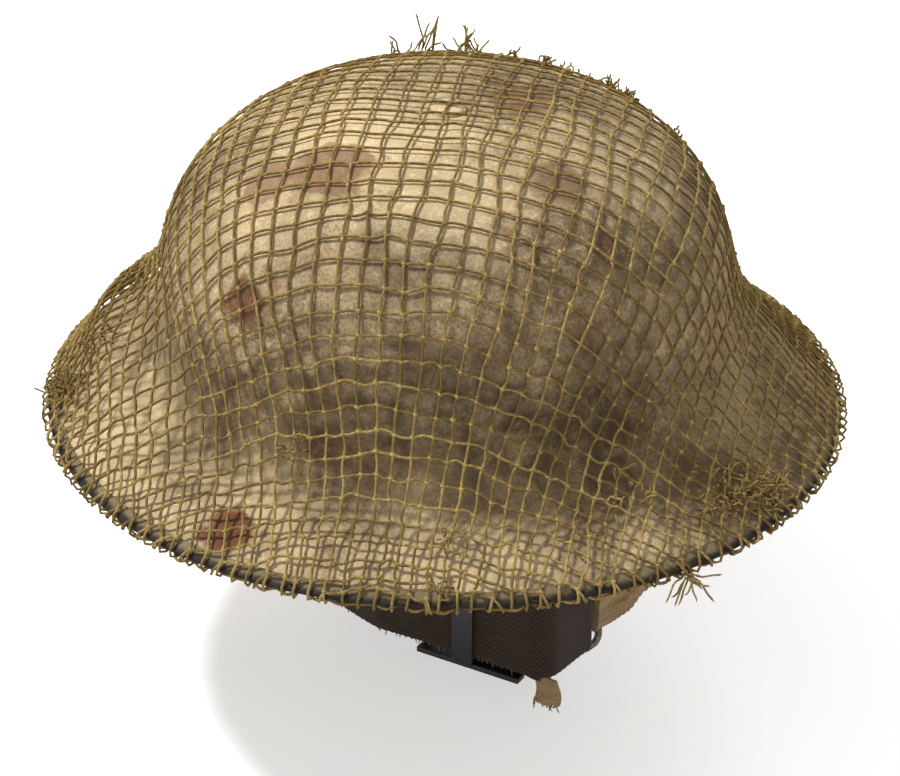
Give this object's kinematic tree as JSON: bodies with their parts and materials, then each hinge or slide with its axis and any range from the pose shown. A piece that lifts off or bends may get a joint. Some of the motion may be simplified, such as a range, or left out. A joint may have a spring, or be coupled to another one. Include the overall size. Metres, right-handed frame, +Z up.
{
  "type": "helmet",
  "caption": "Shallow steel bowl helmet with a wide brim, a riveted head liner, a sprung webbing chin strap and a knotted camouflage net.",
  "frame": {"origin": "centre of the headband's lower edge, where the wearer's head enters", "axes": "+Z up through the crown, -Y towards the wearer's front, +X towards the wearer's left"},
  "size_m": [0.3028, 0.3028, 0.2068],
  "materials": {
    "shell_steel": "rough faded olive paint with rust",
    "rim_steel": "dark worn paint",
    "fastener_steel": "dull",
    "strap_steel": "dull",
    "fibre": "matt fibre board",
    "oilcloth": "semi-gloss oilcloth",
    "liner_webbing": "matt cotton webbing",
    "liner_rubber": "matt",
    "strap_cotton": "matt cotton webbing",
    "black_buckle": "black, semi-gloss",
    "net_twine": "matt twine"
  },
  "bodies": {
    "helmet": {"buffer_front_left": "liner_rubber", "buffer_front_right": "liner_rubber", "buffer_hip_left": "liner_rubber", "buffer_hip_right": "liner_rubber", "buffer_rear_left": "liner_rubber", "buffer_rear_right": "liner_rubber", "buffer_rivets": "fastener_steel", "buffer_side_left": "liner_rubber", "buffer_side_right": "liner_rubber", "camouflage_net": "net_twine", "cradle_rivets": "fastener_steel", "cradle_strap_cross": "liner_webbing", "cradle_strap_long": "liner_webbing", "crown_bolt": "fastener_steel", "crown_nut": "fastener_steel", "crown_pad": "liner_rubber", "crown_plate": "fastener_steel", "crown_spacer": "fibre", "headband_core": "fibre", "headband_cover": "oilcloth", "lug_collar_left": "strap_steel", "lug_collar_right": "strap_steel", "lug_rivet_left": "fastener_steel", "lug_rivet_right": "fastener_steel", "net_hem_cord": "net_twine", "rim_binding": "rim_steel", "steel_shell": "shell_steel"},
    "chinstrap": {"lug_bail_left": "strap_steel", "lug_bail_right": "strap_steel", "lug_plate_left": "strap_steel", "lug_plate_right": "strap_steel", "spring_sleeve_left": "strap_cotton", "spring_sleeve_right": "strap_cotton", "strap_ring_left": "strap_steel", "strap_ring_right": "strap_steel", "strap_tail": "strap_cotton", "strap_webbing": "strap_cotton"},
    "buckle": {"strap_buckle": "black_buckle"}
  },
  "joints": [
    {"name": "chinstrap_swing", "type": "hinge", "parent": "helmet", "child": "chinstrap", "pos_m": [0, 0, 0.026], "axis": [1, 0, 0], "range_deg": [-25, 30]},
    {"name": "buckle_slide", "type": "slide", "parent": "chinstrap", "child": "buckle", "axis": [0.9947, -0.1025, 0], "range_m": [-0.014, 0.002]}
  ]
}
